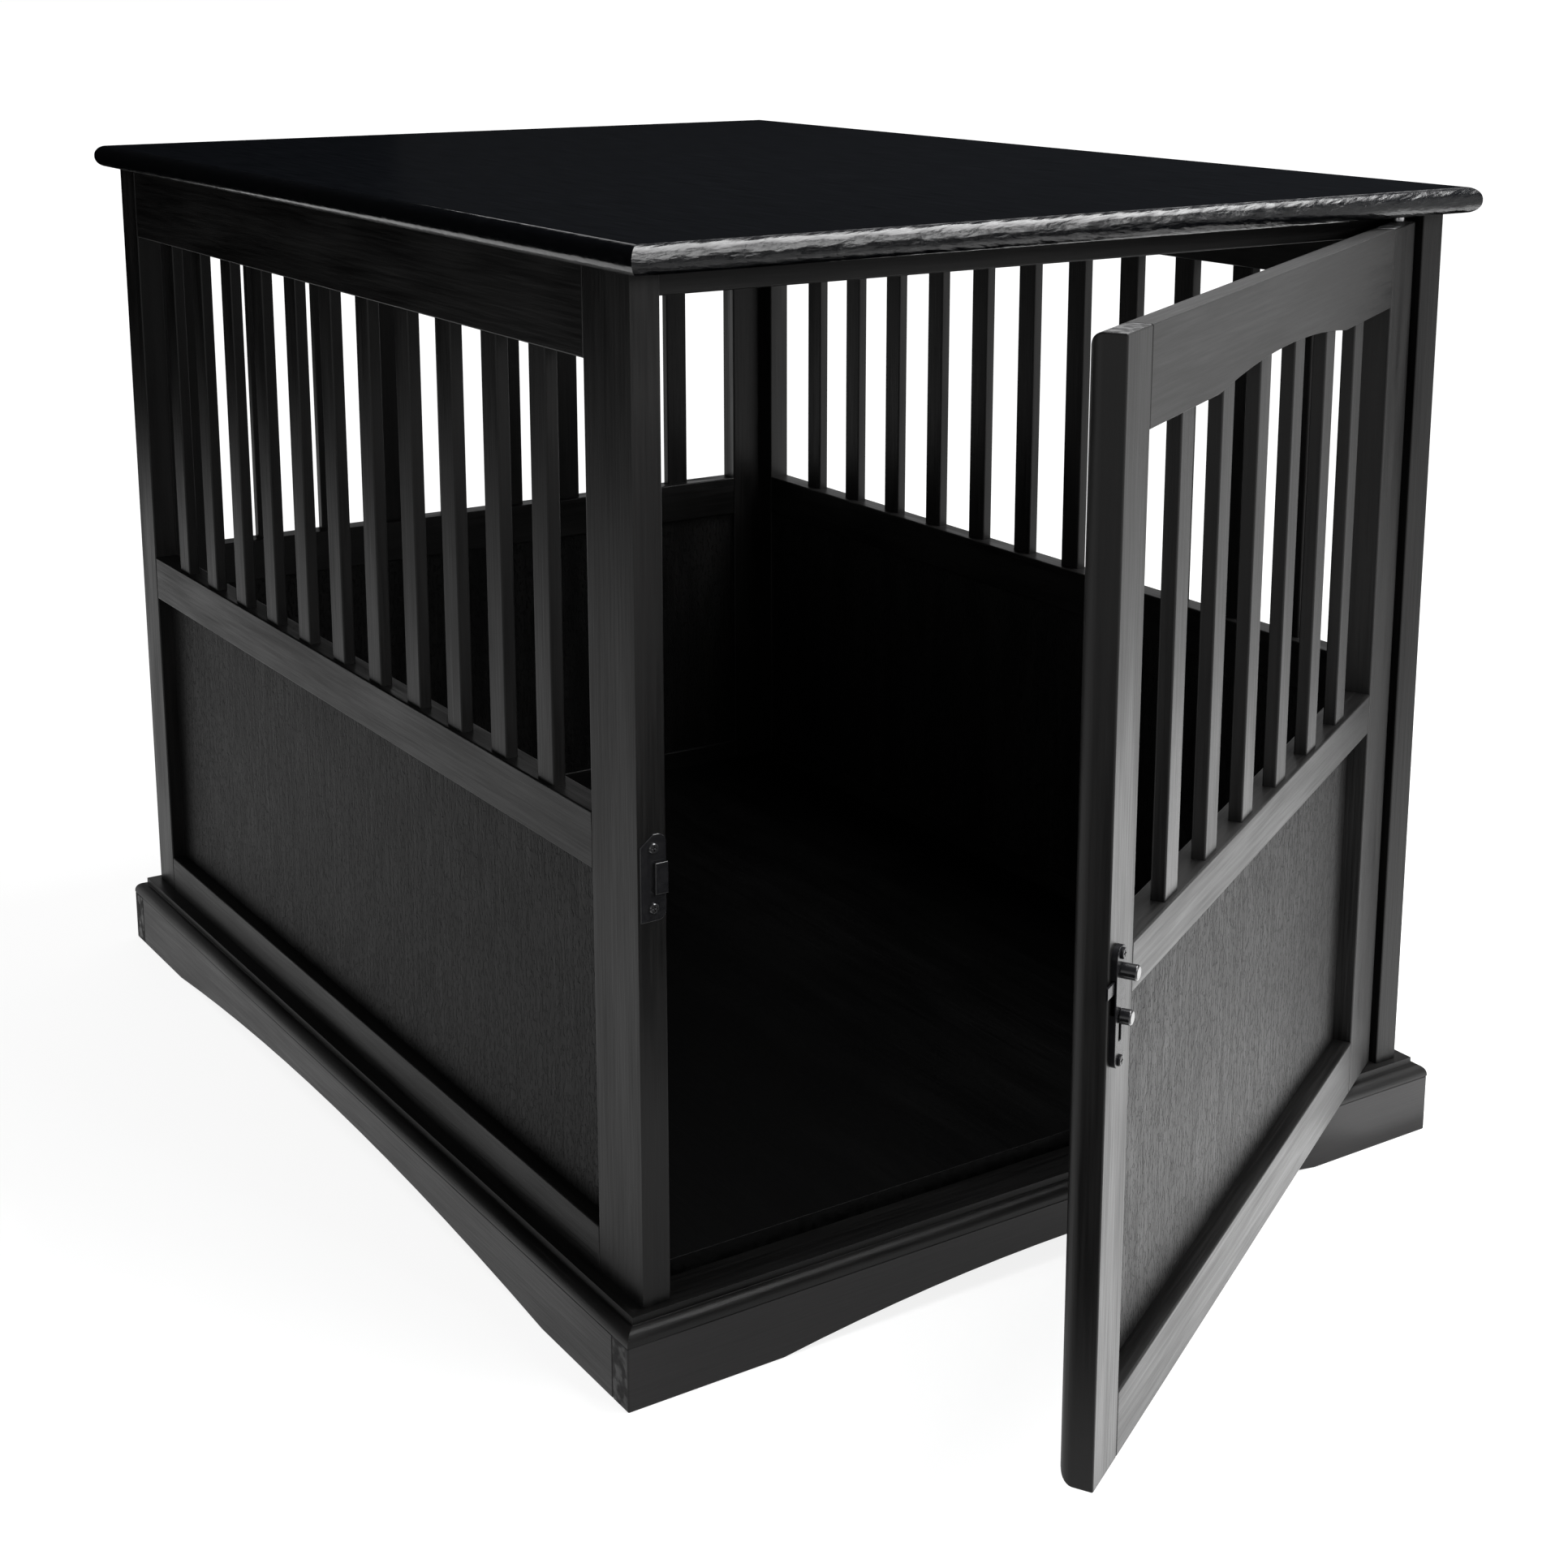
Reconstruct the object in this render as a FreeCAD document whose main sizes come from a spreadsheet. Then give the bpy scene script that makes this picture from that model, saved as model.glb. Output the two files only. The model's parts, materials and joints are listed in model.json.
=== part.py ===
import FreeCAD, Part
import os
import re

import Sketcher

# Wooden pet crate: a base with moulded plinth, two slatted sides, a slatted back, a table top
# and an inset door that hangs on pivot pins and is held by a slide latch.
# The origin is the middle of the crate's footprint on the floor, +X to the right, +Y to the back.

# Driving dimensions: millimetres, degrees for the angle, counts for the slats.
SIZES = {
    # Overall body, measured over the side frames.
    "body_width": 660,
    "body_depth": 884,
    "overall_height": 720,
    # Table top with a separate bullnose edge strip.
    "top_thickness": 18,
    "top_edge_width": 10,
    "top_edge_flat": 1,
    "top_side_overhang": 12,
    "top_front_overhang": 24,
    "top_back_overhang": 30,
    # Plinth boards with arched lower edges.
    "plinth_height": 44,
    "plinth_thickness": 20,
    "plinth_side_projection": 20,
    "plinth_front_projection": 15,
    "foot_length": 115,
    "arch_rise": 17,
    "block_width": 40,
    "block_clearance": 4,
    # Cap moulding on the plinth: an ovolo below a flat step.
    "cap_ovolo": 9,
    "cap_round": 8,
    "cap_step": 5,
    "cap_setback": 9,
    "cap_width": 60,
    "floor_thickness": 12,
    # Side and back frames.
    "frame_thickness": 20,
    "front_stile_width": 56,
    "rear_stile_width": 36,
    "back_stile_width": 34,
    "top_rail_height": 56,
    "mid_rail_height": 37,
    "mid_rail_top": 366,
    "bottom_rail_height": 30,
    # Joinery that the frames and the door share.
    "tenon_length": 15,
    "tenon_thickness": 7,
    "tenon_inset": 6,
    "groove_depth": 7,
    "panel_thickness": 5,
    "panel_back": 3,
    "slat_width": 22,
    "slat_thickness": 9,
    "slat_recess": 3,
    "slat_tenon": 8,
    "side_slat_count": 11,
    "back_slat_count": 8,
    "door_slat_count": 6,
    # Door stop rail under the top, and the cleats that hold the top.
    "stop_gap": 2,
    "stop_rail_height": 18,
    "stop_rail_thickness": 20,
    "cleat_width": 20,
    "cleat_screw_margin": 60,
    "cleat_screw_length": 31,
    # Door.
    "door_open_angle": 30,
    "door_side_gap": 2,
    "door_top_gap": 6,
    "door_bottom_gap": 2,
    "door_thickness": 22,
    "door_edge_round": 10,
    "door_free_stile_width": 38,
    "door_hinge_stile_width": 68,
    "door_top_rail_height": 54,
    "door_mid_rail_height": 29,
    "door_bottom_rail_height": 40,
    "door_arch_rise": 9,
    "door_arch_span": 272,
    # Pivot pins and their bushes.
    "pivot_inset": 11,
    "pin_radius": 4,
    "pin_clearance": 0.05,
    "pin_in_door": 20,
    "pin_end_gap": 2,
    "bush_wall": 2,
    "bush_depth": 10,
    "flange_overhang": 3,
    "thrust_clearance": 0.3,
    # Latch case on the door, with a fixed peg and a sliding peg.
    "latch_level": 341,
    "case_inset": 3,
    "case_width": 14.5,
    "case_length": 68,
    "case_wall": 0.9,
    "case_round": 6.5,
    "peg_chamfer": 0.8,
    "shank_radius": 1.5,
    "shank_length": 2,
    "fixed_peg_rise": 20.5,
    "fixed_peg_radius": 4.3,
    "fixed_peg_length": 9.5,
    "slide_peg_drop": 5,
    "slide_peg_radius": 4.2,
    "slide_peg_length": 6.5,
    "slide_clearance": 0.3,
    "slide_travel": 12,
    "slide_width": 8,
    "slide_thickness": 1.2,
    "slide_tail": 6,
    "nose_rise": 14.5,
    "nose_height": 6.5,
    "nose_reach": 10,
    "latch_screw_spread": 60,
    # Strike plate on the left front post.
    "keeper_gap": 1.5,
    "strike_inset": 0.5,
    "strike_width": 18,
    "strike_length": 55,
    "strike_thickness": 0.8,
    "strike_round": 6,
    "strike_slant_width": 9,
    "strike_slant_drop": 7,
    "keeper_width": 9,
    "keeper_height": 20,
    "keeper_wall": 0.9,
    "strike_screw_spread": 38,
    # Screws.
    "screw_radius": 1.5,
    "screw_length": 14,
    "screw_head_radius": 3.2,
    "screw_head_height": 1.5,
    "screw_head_chamfer": 0.6,
    "cross_width": 0.9,
    "cross_length": 3.8,
    "cross_depth": 0.7,
    # How far a cutting tool runs past the face that it cuts.
    "overrun": 5,
    # The largest part of a wall, or of the space between two edges, that a round may take.
    "wall_share": 0.9,
    "half_wall_share": 0.45,
}

# Screws in each of the two cleats under the top.
CLEAT_SCREWS = 3

# Two coordinates closer than this are the same place.
SAME_PLACE = 1e-6

DOC = FreeCAD.newDocument("pet_crate")
PARTS = {}


def fill_sheet():
    sheet = DOC.addObject("Spreadsheet::Sheet", "Sizes")
    for row, (name, value) in enumerate(SIZES.items(), start=1):
        sheet.set(f"A{row}", name)
        sheet.set(f"B{row}", str(value))
        sheet.setAlias(f"B{row}", name)
    DOC.recompute()


def formula(text):
    """Turns the bare names of a sum into references to the sheet."""
    return re.sub(r"[a-z_]+", lambda word: f"Sizes.{word[0]}" if word[0] in SIZES else word[0], text)


def bind(piece, **sums):
    for name, text in sums.items():
        piece.setExpression(name, formula(text))


def place(piece, at, axis=(0, 0, 1), angle=0):
    piece.Placement = FreeCAD.Placement(FreeCAD.Vector(), FreeCAD.Rotation(FreeCAD.Vector(*axis), angle))
    for letter, text in zip("xyz", at):
        piece.setExpression(f"Placement.Base.{letter}", formula(text))


def keep(label, piece):
    """Names a finished sub-part; its file takes the same name."""
    piece.Label = label
    PARTS[label] = piece
    return piece


def box(name, at, size):
    piece = DOC.addObject("Part::Box", name)
    bind(piece, Length=size[0], Width=size[1], Height=size[2])
    place(piece, at)
    return piece


def cylinder(name, at, radius, height, axis=(0, 0, 1), angle=0):
    piece = DOC.addObject("Part::Cylinder", name)
    bind(piece, Radius=radius, Height=height)
    place(piece, at, axis, angle)
    return piece


def cut(name, base, *tools):
    for number, tool in enumerate(tools):
        piece = DOC.addObject("Part::Cut", f"{name}_cut_{number}")
        piece.Base = base
        piece.Tool = tool
        base = piece
    return base


def fuse(name, *pieces):
    piece = DOC.addObject("Part::MultiFuse", name)
    piece.Shapes = list(pieces)
    piece.Refine = True
    return piece


def group(name, pieces):
    piece = DOC.addObject("Part::Compound", name)
    piece.Links = list(pieces)
    return piece


def plane_of(body, role):
    return next(item for item in body.Origin.OriginFeatures if item.Role == role)


def outline(body, name, role, points):
    """A closed outline of straight lines; each corner's two coordinates are bound to sums."""
    sketch = body.newObject("Sketcher::SketchObject", name)
    sketch.AttachmentSupport = [(plane_of(body, role), "")]
    sketch.MapMode = "FlatFace"
    count = len(points)
    spots = [FreeCAD.Vector(1, 0, 0)]
    turn = FreeCAD.Rotation(FreeCAD.Vector(0, 0, 1), 360 / count)
    while len(spots) < count:
        spots.append(turn.multVec(spots[-1]))
    for number in range(count):
        sketch.addGeometry(Part.LineSegment(spots[number], spots[(number + 1) % count]))
    for number in range(count):
        sketch.addConstraint(Sketcher.Constraint("Coincident", number, 2, (number + 1) % count, 1))
    for number, corner in enumerate(points):
        for kind, text in zip(("DistanceX", "DistanceY"), corner):
            start = getattr(spots[number], kind[-1].lower())
            index = sketch.addConstraint(Sketcher.Constraint(kind, -1, 1, number, 1, start))
            sketch.setExpression(f"Constraints[{index}]", formula(text))
    return sketch


def padded(name, points, height):
    body = DOC.addObject("PartDesign::Body", name)
    pad = body.newObject("PartDesign::Pad", f"{name}_pad")
    pad.Profile = outline(body, f"{name}_outline", "XY_Plane", points)
    bind(pad, Length=height)
    return body


def rounded(body, picks, radius):
    """Rounds the edges of the body's last feature whose middle point the test picks."""
    DOC.recompute()
    last = body.Tip
    bounds = last.Shape.BoundBox
    names = []
    for number, edge in enumerate(last.Shape.Edges, start=1):
        if picks(edge, edge.CenterOfMass, bounds):
            names.append(f"Edge{number}")
    fillet = body.newObject("PartDesign::Fillet", f"{body.Name}_round")
    fillet.Base = (last, names)
    bind(fillet, Radius=radius)
    return body


def turned(name, profile):
    """A solid of revolution about Z from a half profile of (radius, height) corners."""
    body = DOC.addObject("PartDesign::Body", name)
    sketch = outline(body, f"{name}_profile", "XZ_Plane", profile)
    spin = body.newObject("PartDesign::Revolution", f"{name}_turn")
    spin.Profile = sketch
    spin.ReferenceAxis = (sketch, ["V_Axis"])
    return body


def same(one, other):
    return abs(one - other) < SAME_PLACE


def upright(edge):
    return same(edge.BoundBox.XLength, 0) and same(edge.BoundBox.YLength, 0)


# Levels and half sizes that several pieces share.
BASE_TOP = "(plinth_height + cap_ovolo + cap_step)"
FRAME_TOP = "(overall_height - top_thickness)"
INNER_WIDTH = "(body_width - 2 * frame_thickness)"
PLINTH_X = "(body_width / 2 + plinth_side_projection)"
PLINTH_Y = "(body_depth / 2 + plinth_front_projection)"
TOP_X = "(body_width / 2 + top_side_overhang)"
TOP_Y = "(body_depth / 2 + (top_front_overhang + top_back_overhang) / 2)"
TOP_SHIFT = "((top_back_overhang - top_front_overhang) / 2)"
STOP_Y = "(door_thickness + stop_gap - body_depth / 2)"
DOOR_WIDTH = f"({INNER_WIDTH} - 2 * door_side_gap)"
DOOR_BOTTOM = f"({BASE_TOP} + door_bottom_gap)"
DOOR_TOP = f"({FRAME_TOP} - door_top_gap)"
DOOR_ROUND = "min(door_edge_round; door_thickness * half_wall_share)"
HINGE_X = f"({INNER_WIDTH} / 2 - door_side_gap - pivot_inset)"
HINGE_Y = "(pivot_inset - body_depth / 2)"
BUSH_RADIUS = "(pin_radius + pin_clearance + bush_wall)"
PIN_IN_BUSH = "(bush_depth - pin_end_gap)"
CLEAT_Y = f"({STOP_Y} + stop_rail_thickness)"
CLEAT_LENGTH = f"(body_depth / 2 - frame_thickness - {CLEAT_Y})"
CASE_DEPTH = "(strike_thickness + slide_clearance + slide_thickness + slide_clearance + case_wall)"
PEG_LEVEL = "(latch_level - slide_peg_drop)"
NOSE_LOW = f"({PEG_LEVEL} + nose_rise)"
KEEPER_LOW = f"({NOSE_LOW} - keeper_gap - keeper_height)"
STRIKE_LEVEL = f"({KEEPER_LOW} + keeper_height / 2)"

# Where each frame stands: its own X runs along the outer face, its own Y into the crate.
STANDS = {
    "left": (("-body_width / 2", "body_depth / 2", "0"), "-90"),
    "right": (("body_width / 2", "-body_depth / 2", "0"), "90"),
    "back": ((f"{INNER_WIDTH} / 2", "body_depth / 2", "0"), "180"),
    "door": ((HINGE_X, HINGE_Y, "0"), "door_open_angle"),
}


def stand(label, piece, frame):
    """Stands a finished piece of a frame where the frame belongs."""
    whole = group(f"{label}_placed", [piece])
    at, angle = STANDS[frame]
    place(whole, at)
    whole.setExpression("Placement.Rotation.Angle", formula(angle))
    return keep(label, whole)


# Table top: a flat panel in a mitred frame of bullnose strips.
RING_SIDES = {
    "front": (("-{x}", "-{y}"), ("{x}", "-{y}"), ("{x} - {w}", "{w} - {y}"), ("{w} - {x}", "{w} - {y}")),
    "back": (("{x}", "{y}"), ("-{x}", "{y}"), ("{w} - {x}", "{y} - {w}"), ("{x} - {w}", "{y} - {w}")),
    "left": (("-{x}", "{y}"), ("-{x}", "-{y}"), ("{w} - {x}", "{w} - {y}"), ("{w} - {x}", "{y} - {w}")),
    "right": (("{x}", "-{y}"), ("{x}", "{y}"), ("{x} - {w}", "{y} - {w}"), ("{x} - {w}", "{w} - {y}")),
}


def mitred(side, half_x, half_y, width):
    return [(a.format(x=half_x, y=half_y, w=width), b.format(x=half_x, y=half_y, w=width))
            for a, b in RING_SIDES[side]]


def on_outer_line(side, edge, bounds):
    """True where an edge lies on the outer long side of a mitred strip."""
    lies = {
        "front": (edge.BoundBox.YMax, bounds.YMin),
        "back": (edge.BoundBox.YMin, bounds.YMax),
        "left": (edge.BoundBox.XMax, bounds.XMin),
        "right": (edge.BoundBox.XMin, bounds.XMax),
    }
    return same(*lies[side]) and not upright(edge)


def make_top():
    screws = make_cleats()
    panel = box("top_panel_blank",
                (f"top_edge_width - {TOP_X}", f"top_edge_width - {TOP_Y} + {TOP_SHIFT}", FRAME_TOP),
                (f"2 * ({TOP_X} - top_edge_width)", f"2 * ({TOP_Y} - top_edge_width)", "top_thickness"))
    seat = cylinder("top_bush_seat", (HINGE_X, HINGE_Y, FRAME_TOP), BUSH_RADIUS, "bush_depth")
    keep("top_panel", cut("top_panel", panel, seat, *screws))
    for side in RING_SIDES:
        strip = padded(f"top_edge_{side}", mitred(side, TOP_X, TOP_Y, "top_edge_width"), "top_thickness")
        rounded(strip, lambda edge, middle, bounds: on_outer_line(side, edge, bounds),
                "min((top_thickness - top_edge_flat) / 2; top_edge_width * wall_share)")
        place(strip, ("0", TOP_SHIFT, FRAME_TOP))
        keep(f"top_edge_{side}", strip)


def make_cleats():
    """The cleats inside the side frames, screwed up into the top."""
    screws = []
    for name, x in (("left", f"-{INNER_WIDTH} / 2"), ("right", f"{INNER_WIDTH} / 2 - cleat_width")):
        own = []
        low = f"{FRAME_TOP} - cleat_width"
        first = f"({CLEAT_Y} + cleat_screw_margin)"
        for step in range(CLEAT_SCREWS):
            y = f"{first} + ({CLEAT_LENGTH} - 2 * cleat_screw_margin) * {step} / {CLEAT_SCREWS - 1}"
            own.append(make_screw(f"{name}_cleat_screw", (f"{x} + cleat_width / 2", y, low),
                                  (1, 0, 0), 180, "cleat_screw_length"))
        bar = box(f"{name}_cleat_bar", (x, CLEAT_Y, low),
                  ("cleat_width", CLEAT_LENGTH, "cleat_width"))
        keep(f"{name}_top_cleat", cut(f"{name}_top_cleat", bar, *own))
        screws += own
    keep("top_cleat_screws", group("top_cleat_screws", screws))
    return screws


# Base: arched plinth boards, cap moulding, corner blocks and floor.
def arched(name, board, at, span, rise, depth, axis, angle):
    """Cuts a shallow circular arch into the lower edge of a board."""
    radius = f"(({span} / 2) ^ 2 + {rise} ^ 2) / (2 * {rise})"
    spot = (at[0], at[1], f"{at[2]} + {rise} - {radius}")
    return cut(name, board, cylinder(f"{name}_arch", spot, radius, depth, axis, angle))


def make_plinth():
    side_y = f"({PLINTH_Y} - plinth_thickness)"
    for name, y in (("front", f"-{PLINTH_Y}"), ("back", side_y)):
        board = box(f"plinth_{name}_blank", (f"-{PLINTH_X}", y, "0"),
                    (f"2 * {PLINTH_X}", "plinth_thickness", "plinth_height"))
        keep(f"plinth_{name}", arched(
            f"plinth_{name}", board, ("0", f"{y} - overrun", "0"), f"(2 * ({PLINTH_X} - foot_length))",
            "arch_rise", "plinth_thickness + 2 * overrun", (1, 0, 0), -90))
    for name, x in (("left", f"-{PLINTH_X}"), ("right", f"{PLINTH_X} - plinth_thickness")):
        board = box(f"plinth_{name}_blank", (x, f"-{side_y}", "0"),
                    ("plinth_thickness", f"2 * {side_y}", "plinth_height"))
        keep(f"plinth_{name}", arched(
            f"plinth_{name}", board, (f"{x} - overrun", "0", "0"), f"(2 * ({PLINTH_Y} - foot_length))",
            "arch_rise", "plinth_thickness + 2 * overrun", (0, 1, 0), 90))
    blocks = []
    for x in (f"plinth_thickness - {PLINTH_X}", f"{PLINTH_X} - plinth_thickness - block_width"):
        for y in (f"-{side_y}", f"{side_y} - block_width"):
            blocks.append(box("corner_block", (x, y, "block_clearance"),
                              ("block_width", "block_width", "plinth_height - block_clearance")))
    keep("plinth_corner_blocks", group("plinth_corner_blocks", blocks))


def make_caps():
    for side in RING_SIDES:
        name = f"cap_{side}"
        body = padded(name, mitred(side, PLINTH_X, PLINTH_Y, "cap_width"), "cap_ovolo")
        rounded(body, lambda edge, middle, bounds: on_outer_line(side, edge, bounds)
                and same(middle.z, bounds.ZMax),
                "min(cap_round; cap_ovolo * wall_share; cap_setback * wall_share)")
        step = body.newObject("PartDesign::Pad", f"{name}_step")
        points = mitred(side, f"({PLINTH_X} - cap_setback)", f"({PLINTH_Y} - cap_setback)",
                        "(cap_width - cap_setback)")
        step.Profile = outline(body, f"{name}_step_outline", "XY_Plane", points)
        bind(step, Length="cap_ovolo + cap_step")
        place(body, ("0", "0", "plinth_height"))
        if side == "front":
            seat = cylinder("bottom_bush_seat", (HINGE_X, HINGE_Y, f"{BASE_TOP} - bush_depth"),
                            BUSH_RADIUS, "bush_depth + overrun")
            body = cut(name, body, seat)
        keep(name, body)


def make_floor():
    keep("floor_panel", box(
        "floor_panel", (f"-{INNER_WIDTH} / 2", STOP_Y, BASE_TOP),
        (INNER_WIDTH, f"body_depth / 2 - frame_thickness - {STOP_Y}", "floor_thickness")))


# Frames: stiles, rails, a grooved-in panel below and housed slats above.
def rail(name, left, inner, y, thickness, level, height, blank=None):
    """A rail with a stub tenon at each end; the tenons are one bar through its middle."""
    blank = blank or box(f"{name}_blank", (left, y, level), (inner, thickness, height))
    bar_y = f"{y} + ({thickness} - tenon_thickness) / 2"
    bar = box(f"{name}_tenons", (f"{left} - tenon_length", bar_y, f"{level} + tenon_inset"),
              (f"{inner} + 2 * tenon_length", "tenon_thickness", f"{height} - 2 * tenon_inset"))
    return fuse(f"{name}_tenoned", blank, bar)


def make_panel(name, left, inner, back, mid_rail, panel_low):
    """The board in the grooves of the lower rails and the stiles."""
    low = f"({panel_low} - groove_depth)"
    top = f"(mid_rail_top - {mid_rail} + groove_depth)"
    return box(f"{name}_panel_board",
               (f"{left} - groove_depth", f"{back} - panel_back - panel_thickness", low),
               (f"{inner} + 2 * groove_depth", "panel_thickness", f"{top} - {low}"))


def make_slats(name, left, inner, y, slats_top, count):
    """Evenly spaced upright slats, housed in the middle and top rails."""
    slats = []
    for number in range(1, count + 1):
        middle = f"{left} + {inner} * {number} / {count + 1}"
        slats.append(box(f"{name}_slat",
                         (f"{middle} - slat_width / 2", f"{y} + slat_recess", "mid_rail_top - slat_tenon"),
                         ("slat_width", "slat_thickness", f"{slats_top} - mid_rail_top + 2 * slat_tenon")))
    return group(f"{name}_slat_set", slats)


def make_frame(name, width, left_stile, right_stile, left_name, right_name, slat_count):
    """A side or back frame that stands on the cap moulding."""
    inner = f"({width} - {left_stile} - {right_stile})"
    top_low = f"({FRAME_TOP} - top_rail_height)"
    panel_low = f"({BASE_TOP} + bottom_rail_height)"
    panel = make_panel(name, left_stile, inner, "frame_thickness", "mid_rail_height", panel_low)
    slats = make_slats(name, left_stile, inner, "0", top_low, slat_count)
    rails = {
        "top_rail": (top_low, "top_rail_height", (slats,)),
        "mid_rail": ("(mid_rail_top - mid_rail_height)", "mid_rail_height", (slats, panel)),
        "bottom_rail": (BASE_TOP, "bottom_rail_height", (panel,)),
    }
    made = []
    for role, (level, height, tools) in rails.items():
        blank = rail(f"{name}_{role}", left_stile, inner, "0", "frame_thickness", level, height)
        made.append(cut(f"{name}_{role}", blank, *tools))
        stand(f"{name}_{role}", made[-1], name)
    stiles = []
    for stile, x, stile_width in ((left_name, "0", left_stile),
                                  (right_name, f"{left_stile} + {inner}", right_stile)):
        blank = box(f"{name}_{stile}_blank", (x, "0", BASE_TOP),
                    (stile_width, "frame_thickness", f"{FRAME_TOP} - {BASE_TOP}"))
        stiles.append(cut(f"{name}_{stile}", blank, *made, panel))
    stand(f"{name}_panel", panel, name)
    stand(f"{name}_slats", slats, name)
    return stiles


def make_carcass():
    rear, front = make_frame("left", "body_depth", "rear_stile_width", "front_stile_width",
                             "rear_stile", "front_stile", SIZES["side_slat_count"])
    stand("left_rear_stile", rear, "left")
    stand("left_front_stile", cut("left_post", front, *make_strike()), "left")
    front, rear = make_frame("right", "body_depth", "front_stile_width", "rear_stile_width",
                             "front_stile", "rear_stile", SIZES["side_slat_count"])
    stand("right_front_stile", front, "right")
    stand("right_rear_stile", rear, "right")
    for name, stile in zip(("right", "left"), make_frame(
            "back", INNER_WIDTH, "back_stile_width", "back_stile_width",
            "right_stile", "left_stile", SIZES["back_slat_count"])):
        stand(f"back_{name}_stile", stile, "back")
    keep("front_stop_rail", box(
        "front_stop_rail", (f"-{INNER_WIDTH} / 2", STOP_Y, f"{FRAME_TOP} - stop_rail_height"),
        (INNER_WIDTH, "stop_rail_thickness", "stop_rail_height")))


def make_screw(name, at, axis, angle, length="screw_length"):
    """A pan-head wood screw with a cross recess; its head sits on the plane of its place."""
    body = turned(f"{name}_turned", (
        ("0", f"-{length}"), ("screw_radius", f"-{length} + screw_radius"), ("screw_radius", "0"),
        ("screw_head_radius", "0"), ("screw_head_radius", "screw_head_height - screw_head_chamfer"),
        ("screw_head_radius - screw_head_chamfer", "screw_head_height"), ("0", "screw_head_height")))
    arms = []
    for length, width in (("cross_length", "cross_width"), ("cross_width", "cross_length")):
        low = "screw_head_height - cross_depth"
        arms.append(box(f"{name}_cross", (f"-{length} / 2", f"-{width} / 2", low),
                        (length, width, "cross_depth + overrun")))
    whole = group(name, [cut(name, body, *arms)])
    place(whole, at, axis, angle)
    return whole


def make_strike():
    """The strike plate on the front edge of the left post, with its keeper and screws."""
    low = f"({STRIKE_LEVEL} - strike_length / 2)"
    edge = "(frame_thickness - strike_inset - strike_width)"
    plate = padded("strike_sheet", (
        ("0", "0"), ("strike_width", "0"), ("strike_width", "strike_length"),
        ("strike_slant_width", "strike_length"), ("0", "strike_length - strike_slant_drop")),
        "strike_thickness")
    rounded(plate, lambda edge, middle, bounds: upright(edge) and same(middle.x, bounds.XMax),
            "min(strike_round; (strike_width - strike_slant_width) * wall_share)")
    place(plate, ("body_depth", edge, low), (1, 1, 1), 120)
    keeper_y = f"({edge} + strike_width - keeper_width)"
    shell = box("keeper_shell", ("body_depth", keeper_y, KEEPER_LOW),
                (CASE_DEPTH, "keeper_width", "keeper_height"))
    hollow = box("keeper_hollow",
                 ("body_depth", f"{keeper_y} + keeper_wall", f"{KEEPER_LOW} + keeper_wall"),
                 (f"{CASE_DEPTH} - keeper_wall", "keeper_width", "keeper_height"))
    screws = []
    for sign in ("-", "+"):
        spot = ("body_depth + strike_thickness", f"{edge} + strike_width / 2",
                f"{STRIKE_LEVEL} {sign} strike_screw_spread / 2")
        screws.append(make_screw("strike_screw", spot, (0, 1, 0), 90))
    strike = cut("strike_plate", fuse("strike_body", plate, cut("keeper", shell, hollow)), *screws)
    stand("strike_plate", strike, "left")
    stand("strike_screws", group("strike_screw_set", screws), "left")
    return screws


# Door, in its own frame about the pivot axis: X towards the hinge edge, Y into the crate.
def make_pins():
    pins = []
    top_pin = cylinder("top_pin_bar", ("0", "0", f"{DOOR_TOP} - pin_in_door"),
                       "pin_radius", f"pin_in_door + door_top_gap + {PIN_IN_BUSH}")
    low_pin = cylinder("bottom_pin_bar", ("0", "0", f"{BASE_TOP} - {PIN_IN_BUSH}"),
                       "pin_radius", f"{PIN_IN_BUSH} + door_bottom_gap + pin_in_door")
    for name, pin in (("top", top_pin), ("bottom", low_pin)):
        stand(f"{name}_pivot_pin", pin, "door")
        pins.append(pin)
    for name, level, angle in (("top", FRAME_TOP, 180), ("bottom", BASE_TOP, 0)):
        bore = "pin_radius + pin_clearance"
        flange = f"{BUSH_RADIUS} + flange_overhang"
        flange_top = "door_bottom_gap - thrust_clearance"
        bush = turned(f"{name}_pivot_bush", (
            (bore, "-bush_depth"), (BUSH_RADIUS, "-bush_depth"), (BUSH_RADIUS, "0"),
            (flange, "0"), (flange, flange_top), (bore, flange_top)))
        place(bush, (HINGE_X, HINGE_Y, level), (1, 0, 0), angle)
        keep(f"{name}_pivot_bush", bush)
    return pins


def door_rims(left):
    """Cutters that round the door's top and bottom edges on the crate's side."""
    middle = f"(door_thickness - pivot_inset - {DOOR_ROUND})"
    top, bottom = f"({DOOR_TOP} - {DOOR_ROUND})", f"({DOOR_BOTTOM} + {DOOR_ROUND})"
    rims = []
    for name, level, low in (("top", top, top), ("bottom", bottom, f"{DOOR_BOTTOM} - overrun")):
        block = box(f"{name}_rim_block", (f"{left} - overrun", middle, low),
                    (f"{DOOR_WIDTH} + 2 * overrun", f"{DOOR_ROUND} + overrun", f"{DOOR_ROUND} + overrun"))
        bar = cylinder(f"{name}_rim_bar", (f"{left} - 2 * overrun", middle, level), DOOR_ROUND,
                       f"{DOOR_WIDTH} + 4 * overrun", (0, 1, 0), 90)
        rims.append(cut(f"{name}_rim", block, bar))
    return rims


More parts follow.
